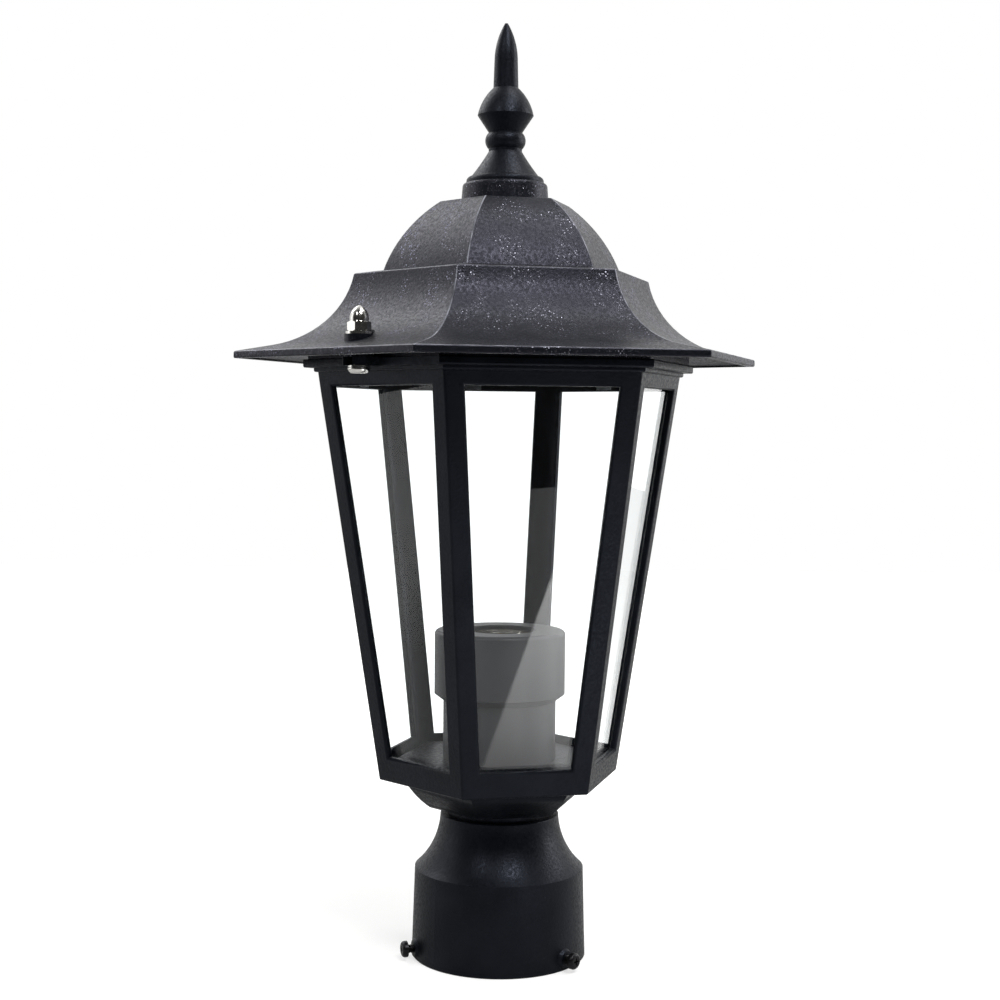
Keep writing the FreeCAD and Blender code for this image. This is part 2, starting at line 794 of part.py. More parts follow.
def make_floor_pan():
    reach = wall_apothem(ledge_z, cage_wall + pane_clearance + pane_thickness) - pan_clearance
    pan = hex_prism(reach, ledge_z, pan_z)
    pan = pan.cut(hex_prism(reach - pan_thickness, ledge_z, pan_z - pan_thickness))
    pan = pan.cut(post(nipple_radius + nipple_hole_clearance, ledge_z, pan_z))
    hole = post(earth_screw_radius + screw_thread_clearance, ledge_z, pan_z)
    return pan.cut(turned(moved(hole, earth_screw_offset, 0, 0), earth_screw_angle))


def make_earth_screw():
    screw = pan_screw(earth_screw_radius, earth_screw_grip, earth_screw_head_radius, earth_screw_head_height)
    screw = screw.cut(cross_recess(earth_screw_head_radius, earth_screw_head_height))
    return turned(moved(screw, earth_screw_offset, 0, pan_z), earth_screw_angle)


def make_holder_cap():
    spigot = holder_spigot_radius
    inner = cap_bore_radius
    hole = nipple_radius + nipple_hole_clearance
    return revolved([
        (hole, pan_z),
        (holder_cap_radius, pan_z),
        (holder_cap_radius, cap_top_z),
        (spigot, cap_top_z),
        (spigot, cap_top_z + holder_collar_height),
        (inner, cap_top_z + holder_collar_height),
        (inner, block_z),
        (cap_well_radius, block_z),
        (cap_well_radius, cap_floor_z),
        (hole, cap_floor_z),
    ])


def make_holder_skirt():
    spigot = holder_spigot_radius + holder_clearance
    inner = holder_skirt_radius - holder_skirt_wall
    taper_z = cap_top_z + holder_skirt_taper
    edge = holder_rim_round
    edge_centre = (holder_skirt_radius - edge, skirt_top_z - edge)
    brow = (holder_skirt_radius - edge, skirt_top_z)
    return revolved([
        (spigot, cap_top_z),
        (holder_cap_radius, cap_top_z),
        (holder_skirt_radius, taper_z),
        (holder_skirt_radius, skirt_top_z - edge),
        arc_step(edge_centre, edge, (holder_skirt_radius, skirt_top_z - edge), brow),
        (holder_mouth_radius, skirt_top_z),
        (holder_mouth_radius, skirt_top_z - holder_skirt_wall),
        (inner, skirt_top_z - holder_skirt_wall - edge),
        (inner, cap_top_z + holder_collar_height + holder_skirt_wall),
        (spigot, cap_top_z + holder_collar_height),
    ])


def make_contact_block():
    reach = cap_bore_radius - holder_clearance
    block = post(reach, block_z, block_top_z)
    block = block.cut(post(block_well_radius, block_top_z - block_well_depth, block_top_z))
    for side in (-1, 1):
        hole_top = block_z + terminal_grip + terminal_spare
        hole = post(terminal_radius + screw_thread_clearance, block_z, hole_top)
        block = block.cut(moved(hole, 0, side * terminal_offset, 0))
    return block


def make_screw_shell():
    outer = shell_radius + shell_wall
    top = skirt_top_z - shell_setback
    return revolved([
        (shell_floor_hole, block_top_z),
        (outer, block_top_z),
        (outer, top),
        (shell_radius, top),
        (shell_radius, block_top_z + shell_wall),
        (shell_floor_hole, block_top_z + shell_wall),
    ])


def make_centre_contact():
    # Sprung strip in the block's well, flat at one end and lifted towards the lamp's tip at the other.
    half = contact_length / 2
    low = block_top_z - block_well_depth
    lift = low + contact_rise
    bend = contact_foot - half
    crest = half - contact_lip
    outline = [
        FreeCAD.Vector(-half, 0, low),
        FreeCAD.Vector(bend, 0, low),
        FreeCAD.Vector(crest, 0, lift - contact_thickness),
        FreeCAD.Vector(half, 0, lift - 2 * contact_thickness),
        FreeCAD.Vector(half, 0, lift - contact_thickness),
        FreeCAD.Vector(crest, 0, lift),
        FreeCAD.Vector(bend, 0, low + contact_thickness),
        FreeCAD.Vector(-half, 0, low + contact_thickness),
        FreeCAD.Vector(-half, 0, low),
    ]
    face = Part.Face(Part.makePolygon(outline))
    face.translate(FreeCAD.Vector(0, -contact_width / 2, 0))
    return face.extrude(FreeCAD.Vector(0, contact_width, 0))


def make_terminal_screw(side):
    screw = pan_screw(terminal_radius, terminal_grip, terminal_head_radius, terminal_head_height)
    screw.rotate(centre, FreeCAD.Vector(1, 0, 0), 180)
    return moved(screw, 0, side * terminal_offset, block_z)


def make_nipple():
    low = bowl_bottom_z - collar_web - nipple_below_web
    high = pan_z + nipple_above_floor
    return post(nipple_radius, low, high).cut(post(nipple_bore, low, high))


def make_nipple_nut(low):
    hexagon = hex_prism(nipple_nut_flats / 2, low, low + nipple_nut_height)
    return hexagon.cut(post(nipple_radius + nipple_hole_clearance / 2, low, low + nipple_nut_height))


def make_nipple_washer(low):
    washer = post(nipple_washer_radius, low, low + nipple_washer_thickness)
    return washer.cut(post(nipple_radius + nipple_hole_clearance, low, low + nipple_washer_thickness))


def around(shape, angles):
    return [turned(shape, angle) for angle in angles]


def save(name, solids):
    shape = solids[0] if len(solids) == 1 else Part.makeCompound(solids)
    shape.exportStep(os.path.join("parts", name + ".step"))


os.makedirs("parts", exist_ok=True)

collar_web_z = bowl_bottom_z - collar_web
lower_washer_z = collar_web_z - nipple_washer_thickness
nut_levels = [
    lower_washer_z - nipple_nut_height,
    bowl_bottom_z + bowl_web,
    pan_z - pan_thickness - nipple_nut_height,
    cap_floor_z + nipple_washer_thickness,
]

save("post_collar", [make_collar()])
for number, angle in enumerate(screw_angles(), 1):
    save("set_screw_%d" % number, [make_set_screw(angle)])
save("lantern_cage", [make_cage()])
for number, angle in enumerate(side_angles, 1):
    save("glass_pane_%d" % number, [turned(make_pane(), angle)])
save("pane_clips", around(make_clip(), side_angles))
save("pane_clip_screws", around(make_clip_screw(), side_angles))
save("roof", [make_roof()])
save("roof_bolts", around(make_roof_bolt(), bolt_angles))
save("roof_washers", around(make_roof_washer(), bolt_angles))
for number, angle in enumerate(bolt_angles, 1):
    save("acorn_nut_%d" % number, [turned(make_acorn_nut(), angle)])
save("finial", [make_finial()])
save("finial_screw", [make_finial_screw()])
save("finial_washer", [make_finial_washer()])
save("floor_pan", [make_floor_pan()])
save("earth_screw", [make_earth_screw()])
save("holder_cap", [make_holder_cap()])
save("holder_skirt", [make_holder_skirt()])
save("contact_block", [make_contact_block()])
save("screw_shell", [make_screw_shell()])
save("centre_contact", [make_centre_contact()])
save("terminal_screws", [make_terminal_screw(side) for side in (-1, 1)])
save("hollow_nipple", [make_nipple()])
save("nipple_nuts", [make_nipple_nut(low) for low in nut_levels])
save("nipple_washers", [make_nipple_washer(lower_washer_z), make_nipple_washer(cap_floor_z)])
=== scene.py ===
import math

import bmesh
import bpy
from mathutils import Matrix, Vector


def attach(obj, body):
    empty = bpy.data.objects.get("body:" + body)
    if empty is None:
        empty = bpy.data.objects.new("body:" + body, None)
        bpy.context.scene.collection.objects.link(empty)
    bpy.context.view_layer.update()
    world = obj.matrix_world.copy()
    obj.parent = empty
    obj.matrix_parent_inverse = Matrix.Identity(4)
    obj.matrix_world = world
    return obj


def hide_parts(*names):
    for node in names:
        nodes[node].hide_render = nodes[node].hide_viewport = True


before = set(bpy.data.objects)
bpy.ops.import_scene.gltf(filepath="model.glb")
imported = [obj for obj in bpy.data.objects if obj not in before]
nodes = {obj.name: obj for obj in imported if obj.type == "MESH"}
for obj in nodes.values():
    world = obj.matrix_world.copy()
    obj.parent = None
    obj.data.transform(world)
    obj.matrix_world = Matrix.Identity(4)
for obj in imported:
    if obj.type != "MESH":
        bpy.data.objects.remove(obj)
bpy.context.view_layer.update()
mm = 0.001
touch = 0.01 * mm  # points nearer to each other than this count as one
print("frame loaded,", len(nodes), "nodes")


# one function for every colour: sRGB hex to linear
def hexColour(text):
    channels = []
    for start in (1, 3, 5):
        value = int(text[start:start + 2], 16) / 255
        channels.append(value / 12.92 if value <= 0.04045 else ((value + 0.055) / 1.055) ** 2.4)
    return (*channels, 1.0)


# adds one node with its settings and the links into it; a link from a node takes its first output in use
def addNode(tree, kind, settings=None, links=None):
    node = tree.nodes.new("ShaderNode" + kind)
    for name, value in (settings or {}).items():
        if isinstance(name, int) or name in node.inputs:
            node.inputs[name].default_value = value
        else:
            setattr(node, name, value)
    for name, source in (links or {}).items():
        if isinstance(source, bpy.types.Node):
            source = next(socket for socket in source.outputs if socket.enabled)
        tree.links.new(source, node.inputs[name])
    return node


# the two ends of a colour ramp, each a position and a colour
def setRamp(ramp, *ends):
    for element, (position, colour) in zip(ramp.color_ramp.elements, ends):
        element.position = position
        element.color = hexColour(colour)


def newMaterial(name):
    material = bpy.data.materials.new(name)
    material.use_nodes = True
    material.node_tree.nodes.clear()
    return material, material.node_tree


def paint(material, names):
    for name in names:
        for slot in nodes[name].material_slots:
            slot.material = material


# camera at the photograph's viewing angle
cameraSet = {
    "lens": 61.35, "azimuth": 46.6, "distance": 699.6 * mm, "sideways": -0.9 * mm,
    "height": 221.4 * mm, "pitch": 2.725, "roll": 0.519,
}


def addCamera(s):
    turn = Matrix.Rotation(math.radians(s["azimuth"]), 4, "Z")
    lean = Matrix.Rotation(math.radians(90 - s["pitch"]), 4, "X")
    roll = Matrix.Rotation(math.radians(s["roll"]), 4, "Z")
    place = Matrix.Translation(turn @ Vector((s["sideways"], -s["distance"], s["height"])))
    bpy.ops.object.camera_add()
    camera = bpy.context.object
    camera.name = "photoCamera"
    camera.data.lens = s["lens"]
    camera.data.sensor_width = 36
    camera.data.clip_start = 0.01
    camera.matrix_world = place @ turn @ lean @ roll
    bpy.context.scene.camera = camera


addCamera(cameraSet)
print("camera placed")


# textured powder coat on cast aluminium: near black, a cool gloss over a fine pebbled skin; on the roof
# clusters of bare grains glint, and thin pale lines along the hips, the brim edge and the ledge are a painted
# highlight for the light these edges catch; the grit and the grains are drawn as coarse as they need to show
powderSet = {
    "dark": "#07090c", "light": "#0f1115", "patch": 9 * mm, "patchFrom": 0.35, "patchTo": 0.7,
    "grit": 0.55 * mm, "gritFrom": 0.35, "gritTo": 0.65, "smooth": 0.28, "rough": 0.52,
    "bump": 0.9, "depth": 0.12 * mm,
    "sheen": "#e3e2fd", "gloss": 0.235, "plainSheen": "#d8e1fc", "plainGloss": 0.17,
    "grain": 0.82 * mm, "grainSize": 0.36, "grainEdge": 0.08, "grainTilt": 0.75,
    "grainTone": "#53535a", "grainRough": 0.2, "cluster": 7 * mm, "clusterFrom": 0.47, "clusterTo": 0.6,
    # pale tone, gloss and width of the painted highlight lines along the hips and edges, and the noise that
    # breaks them
    "paintedHighlight": "#7c7d85", "highlightRough": 0.3, "line": 0.4 * mm, "levelLine": 0.14 * mm,
    "breakSize": 4 * mm, "breakFrom": 0.4, "breakTo": 0.6, "faintest": 0.3,
    "levels": (247.2 * mm, 279.0 * mm),  # heights of the brim edge and the ledge
    "span": (246.9 * mm, 309.2 * mm),  # from just under the brim edge to the dome's top
    "underside": -0.1,  # a face whose normal points lower than this has no lines
}


# bare grains: the middle of each cell, where a coarser noise gathers them into clusters
def bareGrains(tree, s, place, face):
    cells = addNode(tree, "TexVoronoi", {"Scale": 1 / s["grain"]}, {"Vector": place})
    dot = addNode(tree, "MapRange", {
        "From Min": s["grainSize"], "From Max": s["grainSize"] - s["grainEdge"],
    }, {"Value": cells.outputs["Distance"]})
    cluster = addNode(tree, "TexNoise", {"Scale": 1 / s["cluster"] / 2, "Detail": 3.0}, {"Vector": place})
    gather = addNode(tree, "MapRange", {
        "From Min": s["clusterFrom"], "From Max": s["clusterTo"],
    }, {"Value": cluster})
    grain = addNode(tree, "Math", {"operation": "MULTIPLY"}, {0: dot, 1: gather})
    # each grain leans its own way, so only some of them face a lamp
    lean = addNode(tree, "VectorMath", {"operation": "SUBTRACT", 1: (0.5, 0.5, 0.5)}, {
        0: cells.outputs["Color"],
    })
    reach = addNode(tree, "Math", {"operation": "MULTIPLY", 1: s["grainTilt"]}, {0: grain})
    tilt = addNode(tree, "VectorMath", {"operation": "SCALE"}, {0: lean, "Scale": reach})
    leaning = addNode(tree, "VectorMath", {"operation": "ADD"}, {0: face, 1: tilt})
    return grain, addNode(tree, "VectorMath", {"operation": "NORMALIZE"}, {0: leaning})


# painted highlight lines: pale lines near the three upright planes of the hips, and near the levels of the
# brim edge and the ledge, standing for the light these edges catch
def paintedHighlightLines(tree, s, place, face):
    gaps = []
    for turn in (0, 60, 120):
        across = (-math.sin(math.radians(turn)), math.cos(math.radians(turn)), 0)
        off = addNode(tree, "VectorMath", {"operation": "DOT_PRODUCT", 1: across}, {0: place})
        gaps.append(addNode(tree, "Math", {"operation": "ABSOLUTE"}, {0: off}))
    height = addNode(tree, "SeparateXYZ", {}, {"Vector": place}).outputs["Z"]
    # the faces beside a level edge are nearly flat, so its line is drawn thinner
    thinner = s["line"] / s["levelLine"]
    for level in s["levels"]:
        off = addNode(tree, "Math", {"operation": "SUBTRACT", 1: level}, {0: height})
        gap = addNode(tree, "Math", {"operation": "ABSOLUTE"}, {0: off})
        gaps.append(addNode(tree, "Math", {"operation": "MULTIPLY", 1: thinner}, {0: gap}))
    nearest = gaps[0]
    for gap in gaps[1:]:
        nearest = addNode(tree, "Math", {"operation": "MINIMUM"}, {0: nearest, 1: gap})
    mask = addNode(tree, "MapRange", {"From Min": s["line"], "From Max": s["line"] / 2}, {"Value": nearest})
    # the lines end at the brim edge and at the dome's top, aren't on the underside, and are broken
    low, high = s["span"]
    within = addNode(tree, "Math", {
        "operation": "COMPARE", 1: (low + high) / 2, 2: (high - low) / 2,
    }, {0: height})
    up = addNode(tree, "SeparateXYZ", {}, {"Vector": face}).outputs["Z"]
    outside = addNode(tree, "Math", {"operation": "GREATER_THAN", 1: s["underside"]}, {0: up})
    breakNoise = addNode(tree, "TexNoise", {"Scale": 1 / s["breakSize"] / 2, "Detail": 2.0}, {"Vector": place})
    breaks = addNode(tree, "MapRange", {
        "From Min": s["breakFrom"], "From Max": s["breakTo"], "To Min": s["faintest"],
    }, {"Value": breakNoise})
    for limit in (within, outside, breaks):
        mask = addNode(tree, "Math", {"operation": "MULTIPLY"}, {0: mask, 1: limit})
    return mask


def powderCoat(name, s, onRoof):
    material, tree = newMaterial(name)
    place = addNode(tree, "TexCoord").outputs["Object"]
    face = addNode(tree, "NewGeometry").outputs["Normal"]
    patch = addNode(tree, "TexNoise", {"Scale": 1 / s["patch"] / 2, "Detail": 2.0}, {"Vector": place})
    tone = addNode(tree, "ValToRGB", {}, {"Fac": patch})
    setRamp(tone, (s["patchFrom"], s["dark"]), (s["patchTo"], s["light"]))
    grit = addNode(tree, "TexNoise", {
        "Scale": 1 / s["grit"] / 2, "Detail": 3.0, "Roughness": 0.6,
    }, {"Vector": place})
    rough = addNode(tree, "MapRange", {
        "From Min": s["gritFrom"], "From Max": s["gritTo"], "To Min": s["rough"], "To Max": s["smooth"],
    }, {"Value": grit})
    facing = face
    bare = {}
    if onRoof:
        grain, facing = bareGrains(tree, s, place, face)
        paintedHighlight = paintedHighlightLines(tree, s, place, face)
        bare = {"Metallic": grain}
        # the grains take a bare metal tone, and the lines take a pale tone that is a painted highlight
        for mask, colour, polish in ((grain, s["grainTone"], s["grainRough"]),
                                     (paintedHighlight, s["paintedHighlight"], s["highlightRough"])):
            tone = addNode(tree, "Mix", {"data_type": "RGBA", 7: hexColour(colour)}, {
                "Factor": mask, 6: tone,
            })
            rough = addNode(tree, "MapRange", {"To Max": polish}, {"Value": mask, "To Min": rough})
    bump = addNode(tree, "Bump", {"Strength": s["bump"], "Distance": s["depth"]}, {
        "Height": grit, "Normal": facing,
    })
    shader = addNode(tree, "BsdfPrincipled", {
        "Specular IOR Level": s["gloss"] if onRoof else s["plainGloss"],
        "Specular Tint": hexColour(s["sheen"] if onRoof else s["plainSheen"]),
    }, {"Base Color": tone, "Roughness": rough, "Normal": bump, **bare})
    addNode(tree, "OutputMaterial", {}, {"Surface": shader})
    return material


roofCoat = powderCoat("texturedPowderCoat", powderSet, True)
powder = powderCoat("plainPowderCoat", powderSet, False)
paint(powder, ["post_collar", "finial", "floor_pan"])


# clear polished sheet glass: a mirror image of the studio over a clear view, faintly uneven
glassSet = {"tint": "#fdfefe", "ior": 1.5, "ripple": 60 * mm, "strength": 0.02, "depth": 0.1 * mm}


def clearGlass(s):
    material, tree = newMaterial("clearSheetGlass")
    place = addNode(tree, "TexCoord").outputs["Object"]
    ripple = addNode(tree, "TexNoise", {"Scale": 1 / s["ripple"], "Detail": 1.0}, {"Vector": place})
    bump = addNode(tree, "Bump", {"Strength": s["strength"], "Distance": s["depth"]}, {"Height": ripple})
    polished = addNode(tree, "BsdfPrincipled", {
        "Base Color": hexColour(s["tint"]), "IOR": s["ior"], "Roughness": 0.0, "Transmission Weight": 1.0,
    }, {"Normal": bump})
    clear = addNode(tree, "BsdfTransparent", {"Color": hexColour(s["tint"])})
    # lamps shine straight through, and a pane seen through another one adds no mirror image of its own
    ray = addNode(tree, "LightPath")
    second = addNode(tree, "Math", {"operation": "GREATER_THAN", 1: 1.5}, {
        0: ray.outputs["Transmission Depth"],
    })
    plain = addNode(tree, "Math", {"operation": "MAXIMUM"}, {0: ray.outputs["Is Shadow Ray"], 1: second})
    through = addNode(tree, "MixShader", {}, {"Fac": plain, 1: polished, 2: clear})
    addNode(tree, "OutputMaterial", {}, {"Surface": through})
    return material


glass = clearGlass(glassSet)
paint(glass, ["glass_pane_%d" % number for number in range(1, 7)])


# a plain metal or moulding: one base tone with a fine speckle in it and in its gloss, drawn as coarse as it
# needs to show
speckSet = {"from": 0.3, "to": 0.7, "depth": 0.05 * mm}


def plainFinish(name, s):
    material, tree = newMaterial(name)
    place = addNode(tree, "TexCoord").outputs["Object"]
    speck = addNode(tree, "TexNoise", {"Scale": 1 / s["grain"] / 2, "Detail": 3.0}, {"Vector": place})
    tone = addNode(tree, "ValToRGB", {}, {"Fac": speck})
    setRamp(tone, (speckSet["from"], s["dark"]), (speckSet["to"], s["light"]))
    rough = addNode(tree, "MapRange", {
        "From Min": speckSet["from"], "From Max": speckSet["to"], "To Min": s["smooth"], "To Max": s["rough"],
    }, {"Value": speck})
    bump = addNode(tree, "Bump", {"Strength": s["bump"], "Distance": speckSet["depth"]}, {"Height": speck})
    shader = addNode(tree, "BsdfPrincipled", {"Metallic": s["metallic"]}, {
        "Base Color": tone, "Roughness": rough, "Normal": bump,
    })
    addNode(tree, "OutputMaterial", {}, {"Surface": shader})
    return material


# bright nickel plate: mirror-like with faint haze
nickel = plainFinish("brightNickelPlate", {
    "dark": "#c9c7c3", "light": "#dcdad6", "grain": 0.5 * mm,
    "smooth": 0.1, "rough": 0.2, "bump": 0.05, "metallic": 1.0,
})
paint(nickel, ["roof_bolts", "roof_washers", "acorn_nut_1", "acorn_nut_2"])

# black oxide on steel: dark, slightly oily sheen
blackSteel = plainFinish("blackOxideSteel", {
    "dark": "#1d1d1f", "light": "#2d2d30", "grain": 0.4 * mm,
    "smooth": 0.28, "rough": 0.42, "bump": 0.1, "metallic": 0.9,
})

# zinc plate: pale satin grey with a spangled haze
zinc = plainFinish("zincPlatedSteel", {
    "dark": "#9fa3a6", "light": "#bfc3c6", "grain": 1.2 * mm,
    "smooth": 0.3, "rough": 0.45, "bump": 0.08, "metallic": 1.0,
})
paint(zinc, ["pane_clips", "pane_clip_screws", "finial_screw", "finial_washer", "earth_screw",
             "hollow_nipple", "nipple_nuts", "nipple_washers"])

# moulded phenolic: dark grey, close satin skin
phenolic = plainFinish("mouldedPhenolic", {
    "dark": "#27282c", "light": "#2c2d31", "grain": 0.6 * mm,
    "smooth": 0.42, "rough": 0.5, "bump": 0.03, "metallic": 0.0,
})
paint(phenolic, ["holder_cap", "holder_skirt", "contact_block"])

# plain stamped brass: warm, lightly tarnished
brass = plainFinish("stampedBrass", {
    "dark": "#b08d46", "light": "#d2b268", "grain": 2.0 * mm,
    "smooth": 0.2, "rough": 0.38, "bump": 0.06, "metallic": 1.0,
})
paint(brass, ["centre_contact", "terminal_screws"])
print("finishes painted")


# selects the edges of a piece in edit mode that pass a test
def selectEdges(piece, test):
    bpy.ops.mesh.select_mode(type="EDGE")
    bpy.ops.mesh.select_all(action="DESELECT")
    mesh = bmesh.from_edit_mesh(piece.data)
    for edge in mesh.edges:
        if test(edge):
            edge.select_set(True)
    bmesh.update_edit_mesh(piece.data)


def heights(edge):
    return [end.co.z for end in edge.verts]


# makes one object the only selected one
def choose(piece):
    bpy.ops.object.select_all(action="DESELECT")
    piece.select_set(True)
    bpy.context.view_layer.objects.active = piece


# a skin drawn ring by ring from a circle: each ring is extruded from the last, sized and lifted;
# its ends are capped, or joined to each other when it is a tube
def ringSkin(name, sides, rings, turn=0.0, tube=False):
    bpy.ops.object.select_all(action="DESELECT")
    radius, height = rings[0]
    bpy.ops.mesh.primitive_circle_add(vertices=sides, radius=radius, location=(0, 0, height),
                                      rotation=(0, 0, turn))
    piece = bpy.context.object
    piece.name = name
    bpy.ops.object.transform_apply(location=True, rotation=True, scale=True)
    bpy.ops.object.mode_set(mode="EDIT")
    bpy.ops.mesh.select_mode(type="EDGE")
    bpy.ops.mesh.select_all(action="SELECT")
    if not tube:
        bpy.ops.mesh.edge_face_add()
        selectEdges(piece, lambda edge: True)
    for last, new in zip(rings, rings[1:]):
        share = new[0] / last[0]
        bpy.ops.mesh.extrude_edges_move()
        bpy.ops.transform.resize(value=(share, share, 1), center_override=(0, 0, last[1]))
        bpy.ops.transform.translate(value=(0, 0, new[1] - last[1]))
    if tube:
        bpy.ops.mesh.select_non_manifold()
        bpy.ops.mesh.bridge_edge_loops()
    else:
        bpy.ops.mesh.edge_face_add()
    bpy.ops.mesh.select_all(action="SELECT")
    bpy.ops.mesh.normals_make_consistent(inside=False)
    bpy.ops.object.mode_set(mode="OBJECT")
    return piece


# joins or cuts a piece with another one, which is then removed
def combine(piece, other, way):
    choose(piece)
    modifier = piece.modifiers.new("combine", "BOOLEAN")
    modifier.operation = way
    modifier.object = other
    modifier.solver = "EXACT"
    bpy.ops.object.modifier_apply(modifier=modifier.name)
    bpy.data.objects.remove(other, do_unlink=True)


# shades a finished piece, paints it and hands it over in place of a node
def handOver(piece, angle, material, node, body):
    choose(piece)
    bpy.ops.object.shade_smooth_by_angle(angle=math.radians(angle))
    # large faces keep their own normals, so only the softened edges between them are rounded
    modifier = piece.modifiers.new("weigh", "WEIGHTED_NORMAL")
    modifier.keep_sharp = True
    bpy.ops.object.modifier_apply(modifier=modifier.name)
    piece.data.materials.clear()
    piece.data.materials.append(material)
    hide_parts(node)
    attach(piece, body)


# points along an arc about a centre, from one end to the other
def arcPoints(centre, start, end, steps):
    radius = math.dist(centre, start)
    first = math.atan2(start[1] - centre[1], start[0] - centre[0])
    sweep = math.atan2(end[1] - centre[1], end[0] - centre[0]) - first
    angles = [first + sweep * step / steps for step in range(steps + 1)]
    return [(centre[0] + radius * math.cos(angle), centre[1] + radius * math.sin(angle)) for angle in angles]


# a round stud between two heights; its top can be narrower and its top edge softened
def addStud(name, radius, low, high, spot, topRadius=None, edge=0.0):
    bpy.ops.object.select_all(action="DESELECT")
    middle = (*spot, (low + high) / 2)
    bpy.ops.mesh.primitive_cylinder_add(vertices=96, radius=radius, depth=high - low, location=middle)
    stud = bpy.context.object
    stud.name = name
    bpy.ops.object.transform_apply(location=True, rotation=True, scale=True)
    bpy.ops.object.mode_set(mode="EDIT")
    selectEdges(stud, lambda rim: min(heights(rim)) > high - touch)
    if topRadius:
        share = topRadius / radius
        bpy.ops.transform.resize(value=(share, share, 1), center_override=(*spot, high))
    if edge:
        bpy.ops.mesh.bevel(offset=edge, segments=5, profile=0.5, affect="EDGES")
    bpy.ops.object.mode_set(mode="OBJECT")
    return stud


# cast roof: brim, cove and dome on a hexagon, with softened hips that catch a thin line of light
roofSet = {
    "seat": 244.4 * mm, "rim": 2.8 * mm, "lip": 3.0 * mm,
    "brim": 95.0 * mm, "brimWidth": 13.0 * mm, "brimSlope": 11.5,
    "coveWidth": 28.2 * mm, "coveHeight": 28.45 * mm, "coveLip": 0.7 * mm,
    "ledgeWidth": 10.4 * mm, "ledgeRise": 1.6 * mm,
    "domeRun": 20.2 * mm, "domeHeight": 28.5 * mm, "domeRadius": 57.1 * mm,
    "wall": 2.8 * mm, "steps": 14, "hip": 0.6 * mm, "smoothAngle": 32,
    "crown": 17.9 * mm, "crownTop": 17.2 * mm, "crownEdge": 1.3 * mm, "crownHeight": 7.9 * mm,
    "bolt": 75.4 * mm, "pad": 5.8 * mm, "padHeight": 8.6 * mm, "padSpare": 0.5 * mm,
    "faceSpare": 0.1 * mm, "faceHeight": 25 * mm, "hole": 2.75 * mm, "drillPast": 5 * mm, "sunk": 1 * mm,
    "seatInner": 66.65 * mm, "seatOuter": 69.65 * mm, "seatHeight": 9.8 * mm, "seatCorner": 1.2 * mm,
}
hexReach = 1 / math.cos(math.radians(30))  # a hexagon's corner radius for each unit of its apothem
hexTurn = math.radians(30)  # turns a hexagon so that two of its corners lie on X


# rings of the roof as apothem and height: up the hollow side from the lip, and up the outside from the brim
def roofRings(s):
    slope = math.radians(s["brimSlope"])
    rimZ = s["seat"] + s["rim"]
    foot = (s["brim"] - s["brimWidth"], rimZ + s["brimWidth"] * math.tan(slope))
    top = (foot[0] - s["coveWidth"], foot[1] + s["coveHeight"])
    lift = s["coveHeight"] * math.cos(slope) - s["coveWidth"] * math.sin(slope)
    radius = (s["coveWidth"] ** 2 + s["coveHeight"] ** 2) / (2 * lift)
    cove = (foot[0] + radius * math.sin(slope), foot[1] + radius * math.cos(slope))
    ledge = (top[0], top[1] + s["coveLip"])
    domeFoot = (ledge[0] - s["ledgeWidth"], ledge[1] + s["ledgeRise"])
    domeTop = (domeFoot[0] - s["domeRun"], domeFoot[1] + s["domeHeight"])
    run, rise = s["domeRun"] / 2, s["domeHeight"] / 2
    half = math.hypot(run, rise)
    back = math.sqrt(s["domeRadius"] ** 2 - half ** 2) / half
    dome = (domeFoot[0] - run - rise * back, domeFoot[1] + rise - run * back)
    outside = [(s["brim"], s["seat"]), (s["brim"], rimZ)]
    outside += arcPoints(cove, foot, top, s["steps"])
    outside.append(ledge)
    outside += arcPoints(dome, domeFoot, domeTop, s["steps"])
    # the hollow side lies one wall thickness in, about the same centres
    under = radius + s["wall"]
    underFoot = (cove[0] - under * math.sin(slope), cove[1] - under * math.cos(slope))
    lip = s["brim"] - s["lip"]
    underZ = ledge[1] - s["wall"]
    underTop = (cove[0] - math.sqrt(under ** 2 - (cove[1] - underZ) ** 2), underZ)
    inner = s["domeRadius"] - s["wall"]
    ends = []
    for height in (domeFoot[1] - s["wall"], domeTop[1] - s["wall"]):
        ends.append((dome[0] + math.sqrt(inner ** 2 - (height - dome[1]) ** 2), height))
    inside = [(lip, s["seat"]), (lip, underFoot[1] - (lip - underFoot[0]) * math.tan(slope))]
    inside += arcPoints(cove, underFoot, underTop, s["steps"])
    inside += arcPoints(dome, ends[0], ends[1], s["steps"])
    return inside, outside


